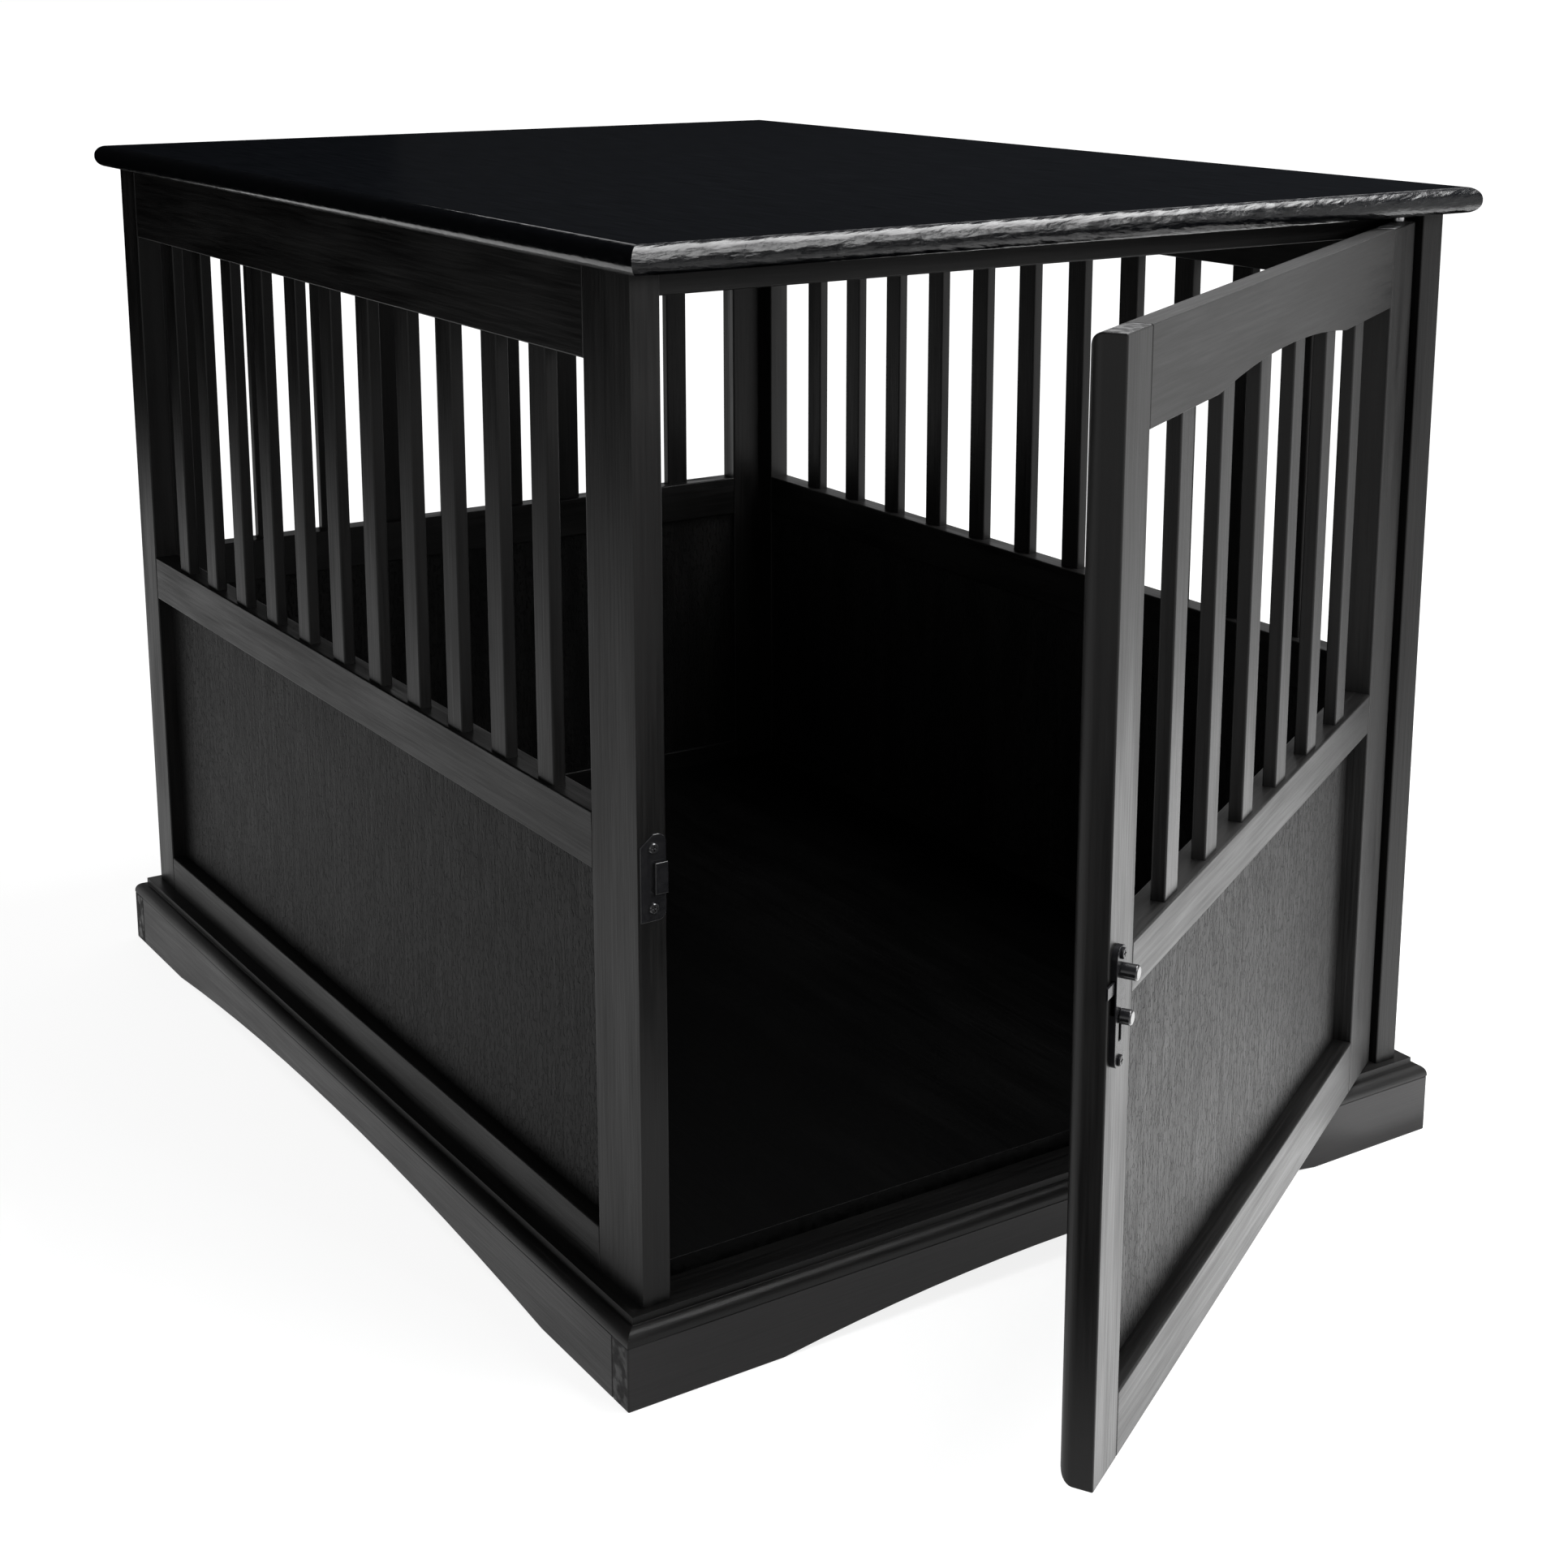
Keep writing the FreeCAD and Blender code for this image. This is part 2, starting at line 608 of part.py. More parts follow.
def make_door():
    left = f"(pivot_inset - {DOOR_WIDTH})"
    face = "(-pivot_inset)"
    inner = f"({DOOR_WIDTH} - door_free_stile_width - door_hinge_stile_width)"
    inner_left = f"({left} + door_free_stile_width)"
    top_low = f"({DOOR_TOP} - door_top_rail_height)"
    panel_low = f"({DOOR_BOTTOM} + door_bottom_rail_height)"
    panel = make_panel("door", inner_left, inner, f"{face} + door_thickness", "door_mid_rail_height",
                       panel_low)
    slats = make_slats("door", inner_left, inner, face, f"({top_low} + door_arch_rise)",
                       SIZES["door_slat_count"])
    head = box("door_top_rail_blank", (inner_left, face, top_low),
               (inner, "door_thickness", "door_top_rail_height"))
    arch_spot = (f"{inner_left} + {inner} / 2", f"{face} - overrun", top_low)
    head = arched("door_head", head, arch_spot, "door_arch_span", "door_arch_rise",
                  "door_thickness + 2 * overrun", (1, 0, 0), -90)
    top_rim, bottom_rim = door_rims(left)
    rails = {
        "top_rail": (top_low, "door_top_rail_height", (slats, top_rim), head),
        "mid_rail": ("(mid_rail_top - door_mid_rail_height)", "door_mid_rail_height", (slats, panel), None),
        "bottom_rail": (DOOR_BOTTOM, "door_bottom_rail_height", (panel, bottom_rim), None),
    }
    made = []
    for role, (level, height, tools, blank) in rails.items():
        tenoned = rail(f"door_{role}", inner_left, inner, face, "door_thickness", level, height, blank)
        made.append(cut(f"door_{role}", tenoned, *tools))
        stand(f"door_{role}", made[-1], "door")
    stand("door_panel", panel, "door")
    stand("door_slats", slats, "door")

    screws = make_latch(left)
    stiles = (
        ("free_stile", left, "door_free_stile_width", lambda middle, bounds: same(middle.x, bounds.XMin)
         and same(middle.y, bounds.YMax), screws),
        ("hinge_stile", f"{inner_left} + {inner}", "door_hinge_stile_width",
         lambda middle, bounds: same(middle.x, bounds.XMax), make_pins()),
    )
    for role, x, width, corner, fittings in stiles:
        blank = padded(f"door_{role}_blank", (("0", "0"), (width, "0"), (width, "door_thickness"),
                                              ("0", "door_thickness")), f"{DOOR_TOP} - {DOOR_BOTTOM}")
        rounded(blank, lambda edge, middle, bounds: upright(edge) and corner(middle, bounds),
                DOOR_ROUND)
        place(blank, (x, face, DOOR_BOTTOM))
        tools = (*made, panel, *fittings, top_rim, bottom_rim)
        stand(f"door_{role}", cut(f"door_{role}", blank, *tools), "door")


def make_latch(door_edge):
    """The slide latch on the door's outer face; the slide drops behind the strike's keeper to lock."""
    left = f"({door_edge} + case_inset)"
    middle = f"({left} + case_width / 2)"
    face = "(-pivot_inset)"
    front = f"({face} - {CASE_DEPTH})"
    slide_back = f"({face} - strike_thickness - slide_clearance)"
    nose_top = f"({NOSE_LOW} + nose_height)"

    screws = []
    for sign in ("-", "+"):
        spot = (middle, front, f"latch_level {sign} latch_screw_spread / 2")
        screws.append(make_screw("latch_screw", spot, (1, 0, 0), 90))
    fixed_peg = make_peg("latch_fixed_peg", "fixed_peg_radius", "fixed_peg_length", "shank_length")
    place(fixed_peg, (middle, front, "latch_level + fixed_peg_rise"), (1, 0, 0), 90)
    slide_peg = make_peg("latch_slide_peg", "slide_peg_radius", "slide_peg_length",
                         f"({slide_back} - {front} + slide_clearance)")
    place(slide_peg, (middle, f"{front} - slide_clearance", PEG_LEVEL), (1, 0, 0), 90)

    case = padded("latch_case_block", (
        ("0", "0"), ("case_width", "0"), ("case_width", "case_length"), ("0", "case_length")), CASE_DEPTH)
    rounded(case, lambda edge, spot, bounds: upright(edge), "min(case_round; case_width * half_wall_share)")
    place(case, (left, face, "latch_level - case_length / 2"), (1, 0, 0), 90)
    hollow_top = f"({nose_top} + slide_clearance)"
    hollow_low = f"({PEG_LEVEL} - slide_tail - slide_travel - slide_clearance)"
    hollow = box("case_hollow", (f"{left} + case_wall", f"{front} + case_wall", hollow_low),
                 ("case_width - 2 * case_wall", f"{CASE_DEPTH} + overrun", f"{hollow_top} - {hollow_low}"))
    mouth_low = f"({NOSE_LOW} - slide_travel - slide_clearance)"
    mouth = box("case_mouth", (f"{left} - overrun", f"{front} + case_wall", mouth_low),
                ("case_wall + 2 * overrun", f"{CASE_DEPTH} + overrun", f"{hollow_top} - {mouth_low}"))
    slot_half = "(shank_radius + slide_clearance)"
    slot_low = f"({PEG_LEVEL} - slide_travel - {slot_half})"
    slot = box("case_slot", (f"{middle} - {slot_half}", f"{front} - overrun", slot_low),
               (f"2 * {slot_half}", f"{CASE_DEPTH} + 2 * overrun", f"slide_travel + 2 * {slot_half}"))
    stand("latch_case", cut("latch_case", case, hollow, mouth, slot, fixed_peg, *screws), "door")

    slide_front = f"({slide_back} - slide_thickness)"
    bar = box("slide_bar", (f"{middle} - slide_width / 2", slide_front, f"{PEG_LEVEL} - slide_tail"),
              ("slide_width", "slide_thickness", f"{nose_top} - {PEG_LEVEL} + slide_tail"))
    nose = box("slide_nose", (f"{left} - nose_reach", slide_front, NOSE_LOW),
               ("nose_reach + case_width / 2", "slide_thickness", "nose_height"))
    stand("latch_slide", cut("latch_slide", fuse("slide_body", bar, nose), slide_peg), "door")
    stand("latch_fixed_peg", fixed_peg, "door")
    stand("latch_slide_peg", slide_peg, "door")
    stand("latch_screws", group("latch_screw_set", screws), "door")
    return screws


def make_peg(name, radius, length, shank):
    return turned(f"{name}_turned", (
        ("0", f"-{shank}"), ("shank_radius", f"-{shank}"), ("shank_radius", "0"), (radius, "0"),
        (radius, f"{length} - peg_chamfer"), (f"{radius} - peg_chamfer", length), ("0", length)))


def check_and_write():
    DOC.recompute()
    broken = [item.Name for item in DOC.Objects if {"Invalid", "Error"} & set(item.State)]
    if broken:
        raise RuntimeError(f"features that did not build: {broken}")
    for label, piece in PARTS.items():
        if piece.Shape.isNull() or not piece.Shape.isValid() or not piece.Shape.Solids:
            raise RuntimeError(f"{label} is not a valid solid")
    os.makedirs("parts", exist_ok=True)
    for label, piece in PARTS.items():
        piece.Shape.exportStep(f"parts/{label}.step")
        print(label, len(piece.Shape.Solids), round(piece.Shape.Volume))


fill_sheet()
make_top()
make_plinth()
make_caps()
make_floor()
make_carcass()
make_door()
check_and_write()
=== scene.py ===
"""Looks of a black painted wooden pet crate: eased edges, painted grain, studio and the photo's view."""
import json
import math

import bmesh
import bpy
from mathutils import Matrix, Vector
from mathutils.bvhtree import BVHTree


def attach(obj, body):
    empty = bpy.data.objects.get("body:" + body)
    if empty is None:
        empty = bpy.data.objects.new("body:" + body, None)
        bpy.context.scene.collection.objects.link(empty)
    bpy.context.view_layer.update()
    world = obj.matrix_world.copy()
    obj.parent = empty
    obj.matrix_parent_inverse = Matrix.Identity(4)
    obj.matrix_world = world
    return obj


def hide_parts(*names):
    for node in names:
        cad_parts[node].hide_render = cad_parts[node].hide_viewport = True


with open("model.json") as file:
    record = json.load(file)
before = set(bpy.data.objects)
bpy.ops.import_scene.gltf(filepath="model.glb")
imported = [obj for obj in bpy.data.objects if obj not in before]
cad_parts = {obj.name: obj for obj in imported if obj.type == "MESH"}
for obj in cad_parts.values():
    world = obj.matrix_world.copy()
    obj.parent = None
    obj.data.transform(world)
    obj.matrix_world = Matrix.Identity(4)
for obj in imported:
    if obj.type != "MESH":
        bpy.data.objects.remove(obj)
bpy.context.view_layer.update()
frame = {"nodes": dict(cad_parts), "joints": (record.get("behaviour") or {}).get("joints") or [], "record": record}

MM = 0.001
SLOTS = {part["node"]: part["material_slot"] for part in frame["record"]["subparts"]}
BODIES = {node: body for body, nodes in frame["record"]["behaviour"]["bodies"].items() for node in nodes}
SWING = next(joint for joint in frame["joints"] if joint["name"] == "door_swing")
# The door is shut at the low end of its swing, so at rest it stands open by this angle.
DOOR_TURN = -math.radians(SWING["range_deg"][0])

# Camera, fitted to the photo's edges of the top, the plinth, the posts and the door.
CAMERA_PLACE = (-1.01096, -1.64877, 0.87061)
CAMERA_YAW = math.radians(33.046)
CAMERA_PITCH = math.radians(12.619)
CAMERA_LENS = 56.512
CAMERA_SHIFT = -0.17
CAMERA_REACH = 500

# Edges turned by more than CORNER are corners; faces turned by less than FLAT are one face.
CORNER = math.radians(30)
FLAT = math.radians(0.5)
SMOOTH = math.radians(35)
WELD = 0.001 * MM
# A probe this far outside a corner tells whether a neighbour within reach covers it.
PROBE = 0.4 * MM
PROBE_REACH = 2 * MM

# How far the open edges of each kind of piece are rounded over.
EASES = {"frame_paint": 1.2 * MM, "panel_paint": 0.4 * MM, "hardware_black": 0.45 * MM}
# The caps' moulded edges are finer than the other frame pieces'.
CAP_EASE = 0.4 * MM
EASE_STEPS = 3
ROUND_PROFILE = 0.5

# Grain of a wooden piece: its direction's place in (x, y, z), and the turn of its space about Z.
GRAINS = {"X": (0, 0.0), "Y": (1, 0.0), "Z": (2, 0.0), "U": (0, DOOR_TURN)}
UPRIGHT_ENDINGS = ("_stile", "_slats", "_panel", "_blocks")
LEVEL_PANELS = ("top_panel", "floor_panel")
# Faces of the edge strips that look up this straight are level with the top and painted like it.
LEVEL = 0.99

# Dark and light tones of each finish, in linear light.
PAINT = ((0.0022, 0.0021, 0.0021, 1), (0.0072, 0.0070, 0.0068, 1))
# The plinth is painted a little lighter than the frame. The paint on the end grain is thinner, so it is lighter
# too.
PLINTH = ((0.0075, 0.0070, 0.0072, 1), (0.0150, 0.0142, 0.0146, 1))
CRATE_END = ((0.0060, 0.0060, 0.0062, 1), (0.0340, 0.0335, 0.0340, 1))
# The door's end grain is painted lighter than the crate's: partly the grain showing, partly a painted highlight on
# the lit top ends of its stiles.
DOOR_END_AND_HIGHLIGHT = ((0.0040, 0.0040, 0.0042, 1), (0.0800, 0.0800, 0.0810, 1))
# Painted shade: the floor panel is painted darker than the frame, standing in for the shade inside the crate.
INSIDE_SHADE = ((0.0012, 0.0012, 0.0012, 1), (0.0026, 0.0026, 0.0026, 1))
VENEER = ((0.0026, 0.0026, 0.0026, 1), (0.0095, 0.0093, 0.0091, 1))
TOP = ((0.0013, 0.0015, 0.0019, 1), (0.0025, 0.0028, 0.0035, 1))
ENAMEL = ((0.006, 0.006, 0.007, 1), (0.012, 0.012, 0.013, 1))
OXIDE = ((0.02, 0.02, 0.021, 1), (0.10, 0.10, 0.103, 1))
ZINC = ((0.42, 0.42, 0.43, 1), (0.6, 0.6, 0.6, 1))
NYLON = ((0.035, 0.035, 0.035, 1), (0.055, 0.055, 0.055, 1))
WHITE = (1, 1, 1, 1)

# Painted wood: its tones, its end grain's tones and its specular level. The door has the glossier coat.
WOODS = {
    "shaded_inside_paint": (INSIDE_SHADE, INSIDE_SHADE, 0.08),
    "plinth_wood": (PLINTH, CRATE_END, 0.22),
    "crate_wood": (PAINT, CRATE_END, 0.17),
    "door_wood": (PAINT, DOOR_END_AND_HIGHLIGHT, 0.22),
}
# Specular level of the panels' veneer.
VENEERS = {"crate_veneer": 0.11, "door_veneer": 0.15}
# Smooth finishes: tones, specular level, range of roughness, scale of the unevenness, and metallic.
COATS = {
    "enamel": (ENAMEL, 0.50, (0.18, 0.24), 300, 0.0),
    "satin_enamel": (ENAMEL, 0.06, (0.22, 0.30), 300, 0.0),
    "black_oxide": (OXIDE, 0.5, (0.16, 0.26), 1500, 0.7),
    "zinc": (ZINC, 0.5, (0.25, 0.4), 1500, 1.0),
    "nylon": (NYLON, 0.4, (0.45, 0.6), 700, 0.0),
}
COATED_SLOTS = {
    "hardware_black": "enamel",
    "steel_black": "black_oxide",
    "steel": "zinc",
    "bush_plastic": "nylon",
}
# The latch's flat pieces have a duller enamel than the other fittings.
SATIN_PIECES = ("latch_case", "latch_slide", "latch_screws")
# The top has no gloss of its own, only a thin clear coat.
TOP_SHEEN = 0.0
TOP_COAT = {"Coat Weight": 0.012, "Coat Roughness": 0.3}
# Specular level of the top's edge strips, by their grain.
EDGE_SHEENS = {"X": 0.27, "Y": 0.40}
# The streaks in their gloss run askew of the grain, and are strong only at the front and back.
STREAK_SLANT = math.radians(16)
STREAK_SHARES = {"X": 1.0, "Y": 0.2}

# Noise patterns of the grain: how far they are drawn out along it, their scale, detail and roughness.
WOOD_FIBRE = (30, 420, 4, 0.6)
WOOD_BANDS = (6, 36, 2, 0.5)
WOOD_RINGS = (30, 130, 1, 0.5)
VENEER_FIBRE = (18, 380, 3, 0.55)
VENEER_BANDS = (10, 38, 2, 0.5)
VENEER_FLECKS = (2.8, 440, 2, 0.6)
TOP_FIBRE = (22, 400, 3, 0.55)
EDGE_STREAKS = (6, 400, 4, 0.65)
EDGE_DENTS = (7, 150, 2, 0.5)
CLOUD_DETAIL = 3
CLOUD_ROUGHNESS = 0.5

# The spans of values that are spread over a finish.
WHOLE = (0.0, 1.0)
FIBRE_SPAN = (0.3, 0.7)
TONE_SPAN = (0.75, 1.25)
RING_SPAN = (0.42, 0.60)
PORE_SPAN = (0.52, 0.62)
STREAK_SPAN = (0.35, 0.65)
CLOUD_SPAN = (0.3, 0.7)
# Cosines between a face's normal and the grain, from a face along the grain to one across it.
END_SPAN = (0.85, 0.95)

# Ranges of roughness, and what the rings of the end grain add to it.
WOOD_ROUGHNESS = (0.36, 0.50)
RING_ROUGHNESS = 0.4
VENEER_ROUGHNESS = (0.46, 0.60)
TOP_ROUGHNESS = (0.45, 0.55)
EDGE_ROUGHNESS = (0.12, 0.25)

# Strength and depth of the reliefs.
WOOD_RELIEF = (0.5, 0.35 * MM)
VENEER_RELIEF = (0.3, 0.25 * MM)
PORE_RELIEF = (1.0, 0.50 * MM)
TOP_RELIEF = (0.2, 0.2 * MM)
DENT_RELIEF = (0.8, 1.8 * MM)
STREAK_RELIEF = (0.6, 0.6 * MM)
CLOUD_RELIEF = (0.03, 0.1 * MM)

FLOOR_REACH = 60
FLOOR_TONE = (0.25, 0.25, 0.25, 1)
# The floor's own glow near the crate, where it keeps a shadow, and far off, where it meets the backdrop,
# with the distances between which it rises.
FLOOR_GLOW = (0.85, 1.0)
FLOOR_GLOW_SPAN = (1.5, 6.0)
# The backdrop darkens between these sines of the angle above the horizon.
BACKDROP_SPAN = (math.sin(math.radians(9)), math.sin(math.radians(28)))
BACKDROP_TOP = (0.12, 0.12, 0.13, 1)
WORLD_FILL = 0.6
# Place, aim, width, height and radiance of the lamps.
SOFTBOXES = {
    "key_softbox": ((1.0, -0.75, 2.3), (1.0, -0.75, 0), 1.6, 1.9, 14),
    "front_softbox": ((0.93, -2.5, 1.65), (-0.1, -0.46, 0.7), 1.4, 1.0, 12),
}
# Cards that only gloss sees, as painted reflections. The dark ones are painted dark reflections that keep the
# paint's reflections dark, and the bright one glows as a painted reflection where the open door mirrors the floor.
DARK_REFLECTION_GLOW = 0
BRIGHT_REFLECTION_GLOW = 3.5
CARD_LIFT = 4 * MM
# Corners of the upright cards, as (x, z) behind the crate and (y, z) beside its right front post.
BACK_REFLECTION_Y = 1.05
BACK_REFLECTION_CORNERS = [(-2.4, 0), (-1.2, 0), (0.2, 0.6), (0.2, 2.2), (-2.4, 2.2)]
RIGHT_REFLECTION_X = 0.45
RIGHT_REFLECTION_CORNERS = [(-0.455, 0), (-0.335, 0), (-0.335, 0.75), (-0.455, 0.75)]
# Corners of the cards on the floor, as (x, y). The bright one goes round the plinth's right front corner.
FRONT_REFLECTION_CORNERS = [(-2.3, -1.35), (-0.42, -1.35), (-0.42, -0.62), (-2.3, -0.62)]
FLOOR_REFLECTION_CORNERS = [(-0.2, -0.98), (1.4, -0.98), (1.4, -0.12), (0.38, -0.12),
              (0.38, -0.47), (0.3, -0.47), (-0.2, -0.76)]


# Node helpers
def plug(tree, socket, value):
    if isinstance(value, bpy.types.NodeSocket):
        tree.links.new(value, socket)
    else:
        socket.default_value = value


def add(tree, kind, inputs=None, **settings):
    """Adds a node; an input is a plain value or another node's output."""
    node = tree.nodes.new(kind)
    for name, value in settings.items():
        setattr(node, name, value)
    for name, value in (inputs or {}).items():
        plug(tree, node.inputs[name], value)
    return node


def maths(tree, operation, first, second=0.0):
    return add(tree, "ShaderNodeMath", {0: first, 1: second}, operation=operation).outputs[0]


def ranged(tree, value, span, target=WHOLE):
    """A span of values spread over a target range, and held at its ends."""
    inputs = {"Value": value, "From Min": span[0], "From Max": span[1]}
    inputs |= {"To Min": target[0], "To Max": target[1]}
    return add(tree, "ShaderNodeMapRange", inputs).outputs[0]


def toned(tree, value, dark, light):
    """A colour between two: the mix node has its colours at inputs 6 and 7, and the result at output 2."""
    node = add(tree, "ShaderNodeMix", data_type="RGBA")
    for place, socket in ((0, value), (6, dark), (7, light)):
        plug(tree, node.inputs[place], socket)
    return node.outputs[2]


def noise(tree, space, scale, detail, roughness):
    inputs = {"Vector": space, "Scale": scale, "Detail": detail, "Roughness": roughness}
    return add(tree, "ShaderNodeTexNoise", inputs).outputs["Fac"]


def grained(tree, axis, pattern, slant=0.0):
    """Noise in object coordinates that are squeezed along the grain, so that it is drawn out along it."""
    place, turn = GRAINS[axis]
    stretch, *settings = pattern
    scale = [1.0, 1.0, 1.0]
    scale[place] = stretch
    spot = add(tree, "ShaderNodeTexCoord").outputs["Object"]
    inputs = {"Vector": spot, "Rotation": (0, 0, turn + slant), "Scale": scale}
    space = add(tree, "ShaderNodeMapping", inputs, vector_type="TEXTURE").outputs[0]
    return noise(tree, space, *settings)


def end_grain(tree, axis):
    """1 on faces that cut across the grain, 0 on the others."""
    place, turn = GRAINS[axis]
    along = Matrix.Rotation(turn, 3, "Z").col[place]
    facing = add(tree, "ShaderNodeTexCoord").outputs["Normal"]
    inputs = {0: facing, 1: tuple(along)}
    across = add(tree, "ShaderNodeVectorMath", inputs, operation="DOT_PRODUCT").outputs["Value"]
    return ranged(tree, maths(tree, "ABSOLUTE", across), END_SPAN)


def wood_tone(tree, fibre, bands):
    """Fine fibres over broad bands, as a value from 0 to 1."""
    return ranged(tree, maths(tree, "ADD", fibre, bands), TONE_SPAN)


def bump(tree, height, relief, below=None, share=1.0):
    strength, depth = relief
    inputs = {"Height": height, "Strength": strength * share, "Distance": depth}
    if below is not None:
        inputs["Normal"] = below
    return add(tree, "ShaderNodeBump", inputs).outputs[0]


def new_material(name, specular, extras=None):
    """A material with its node tree and its shader, whose constants are set."""
    material = bpy.data.materials.new(name)
    material.use_nodes = True
    shader = material.node_tree.nodes["Principled BSDF"]
    for socket, value in {"Specular IOR Level": specular, **(extras or {})}.items():
        shader.inputs[socket].default_value = value
    return material, material.node_tree, shader


def set_finish(tree, shader, colour, roughness, normal):
    for socket, value in (("Base Color", colour), ("Roughness", roughness), ("Normal", normal)):
        plug(tree, shader.inputs[socket], value)


def emptied_tree(owner):
    """The node tree of a new material or world, with nothing in it."""
    owner.use_nodes = True
    owner.node_tree.nodes.clear()
    return owner.node_tree


# Materials
def painted_wood(name, axis, tones, end_tones, specular):
    material, tree, shader = new_material(f"{name}_{axis}", specular)
    fibre = grained(tree, axis, WOOD_FIBRE)
    tone = wood_tone(tree, fibre, grained(tree, axis, WOOD_BANDS))
    rings = ranged(tree, grained(tree, axis, WOOD_RINGS), RING_SPAN)
    across = end_grain(tree, axis)
    colour = toned(tree, across, toned(tree, tone, *tones), toned(tree, rings, *end_tones))
    ringed = maths(tree, "MULTIPLY", maths(tree, "MULTIPLY", across, rings), RING_ROUGHNESS)
    roughness = maths(tree, "ADD", ranged(tree, tone, WHOLE, WOOD_ROUGHNESS), ringed)
    set_finish(tree, shader, colour, roughness, bump(tree, fibre, WOOD_RELIEF))
    return material


def veneer(name, axis, specular):
    material, tree, shader = new_material(f"{name}_{axis}", specular)
    fibre = grained(tree, axis, VENEER_FIBRE)
    bands = grained(tree, axis, VENEER_BANDS)
    pores = ranged(tree, grained(tree, axis, VENEER_FLECKS), PORE_SPAN)
    tone = maths(tree, "SUBTRACT", wood_tone(tree, fibre, bands), pores)
    roughness = ranged(tree, fibre, FIBRE_SPAN, VENEER_ROUGHNESS)
    between_pores = maths(tree, "SUBTRACT", 1.0, pores)
    normal = bump(tree, between_pores, PORE_RELIEF, bump(tree, fibre, VENEER_RELIEF))
    set_finish(tree, shader, toned(tree, tone, *VENEER), roughness, normal)
    return material


def top_paint(axis):
    material, tree, shader = new_material(f"top_paint_{axis}", TOP_SHEEN, TOP_COAT)
    fibre = grained(tree, axis, TOP_FIBRE)
    colour = toned(tree, ranged(tree, fibre, FIBRE_SPAN), *TOP)
    roughness = ranged(tree, fibre, FIBRE_SPAN, TOP_ROUGHNESS)
    set_finish(tree, shader, colour, roughness, bump(tree, fibre, TOP_RELIEF))
    return material


def edge_paint(axis):
    material, tree, shader = new_material(f"edge_paint_{axis}", EDGE_SHEENS[axis])
    streaks = grained(tree, axis, EDGE_STREAKS, STREAK_SLANT)
    dents = grained(tree, axis, EDGE_DENTS, STREAK_SLANT)
    roughness = ranged(tree, streaks, STREAK_SPAN, EDGE_ROUGHNESS)
    dented = bump(tree, dents, DENT_RELIEF, share=STREAK_SHARES[axis])
    normal = bump(tree, streaks, STREAK_RELIEF, dented, STREAK_SHARES[axis])
    set_finish(tree, shader, toned(tree, streaks, *TOP), roughness, normal)
    return material


def coated(name, tones, specular, roughness, scale, metallic):
    """A smooth finish with a fine unevenness: enamel, plating, oxide or moulded plastic."""
    material, tree, shader = new_material(name, specular, {"Metallic": metallic})
    spot = add(tree, "ShaderNodeTexCoord").outputs["Object"]
    cloud = noise(tree, spot, scale, CLOUD_DETAIL, CLOUD_ROUGHNESS)
    clouded = ranged(tree, cloud, CLOUD_SPAN, roughness)
    set_finish(tree, shader, toned(tree, cloud, *tones), clouded, bump(tree, cloud, CLOUD_RELIEF))
    return material


def edges_top(node):
    """True for the strips round the top panel."""
    return "_edge_" in node


def grain_of(node):
    """The direction of a node's grain: upright, along the door, front to back or side to side."""
    if node.endswith(UPRIGHT_ENDINGS) and node not in LEVEL_PANELS:
        return "Z"
    if node.startswith("door_"):
        return "U"
    if node.startswith(("left_", "right_")) or node.endswith(("_left", "_right")) or node in LEVEL_PANELS:
        return "Y"
    return "X"


def finish_name(node):
    """The finish of a node: its slot's, unless the piece is painted in its own way."""
    # The floor panel takes the darker paint that is painted shade for the inside of the crate.
    if node == "floor_panel":
        return "shaded_inside_paint"
    if node.startswith("plinth_"):
        return "plinth_wood"
    if node in SATIN_PIECES:
        return "satin_enamel"
    slot, body = SLOTS[node], BODIES[node]
    if slot == "frame_paint":
        return f"{body}_wood"
    if slot == "panel_paint":
        return f"{body}_veneer"
    if slot == "top_paint":
        return "edge_paint" if edges_top(node) else "top_paint"
    return COATED_SLOTS[slot]


def new_finish(name, axis):
    if name in WOODS:
        return painted_wood(name, axis, *WOODS[name])
    if name in VENEERS:
        return veneer(name, axis, VENEERS[name])
    if name in COATS:
        return coated(name, *COATS[name])
    return edge_paint(axis) if name == "edge_paint" else top_paint(axis)


MATERIALS = {}


def finish_of(node):
    """The material for a node, made once for each finish and, in wood, each direction of the grain."""
    name, axis = finish_name(node), grain_of(node)
    key = name if name in COATS else (name, axis)
    if key not in MATERIALS:
        MATERIALS[key] = new_finish(name, axis)
    return MATERIALS[key]


# Pieces
def solid_of(node):
    mesh = frame["nodes"][node].data
    return BVHTree.FromPolygons([v.co for v in mesh.vertices], [p.vertices for p in mesh.polygons])


SOLIDS = {node: solid_of(node) for node in frame["nodes"]}


def covered(spot, node):
    """True where a neighbour of the node fills a spot."""
    for name, solid in SOLIDS.items():
        if name == node:
            continue
        near, normal, _, _ = solid.find_nearest(spot, PROBE_REACH)
        if near is not None and (spot - near).dot(normal) < 0:
            return True
    return False


def open_edges(mesh, node):
    """The outward corners of a piece that no neighbour covers."""
    picked = []
    for edge in mesh.edges:
        if not edge.is_manifold or edge.calc_face_angle_signed() < CORNER:
            continue
        outward = (edge.link_faces[0].normal + edge.link_faces[1].normal).normalized()
        middle = (edge.verts[0].co + edge.verts[1].co) / 2
        if not covered(middle + outward * PROBE, node):
            picked.append(edge)
    return picked


def ease_of(node):
    return CAP_EASE if node.startswith("cap_") else EASES.get(SLOTS[node], 0)


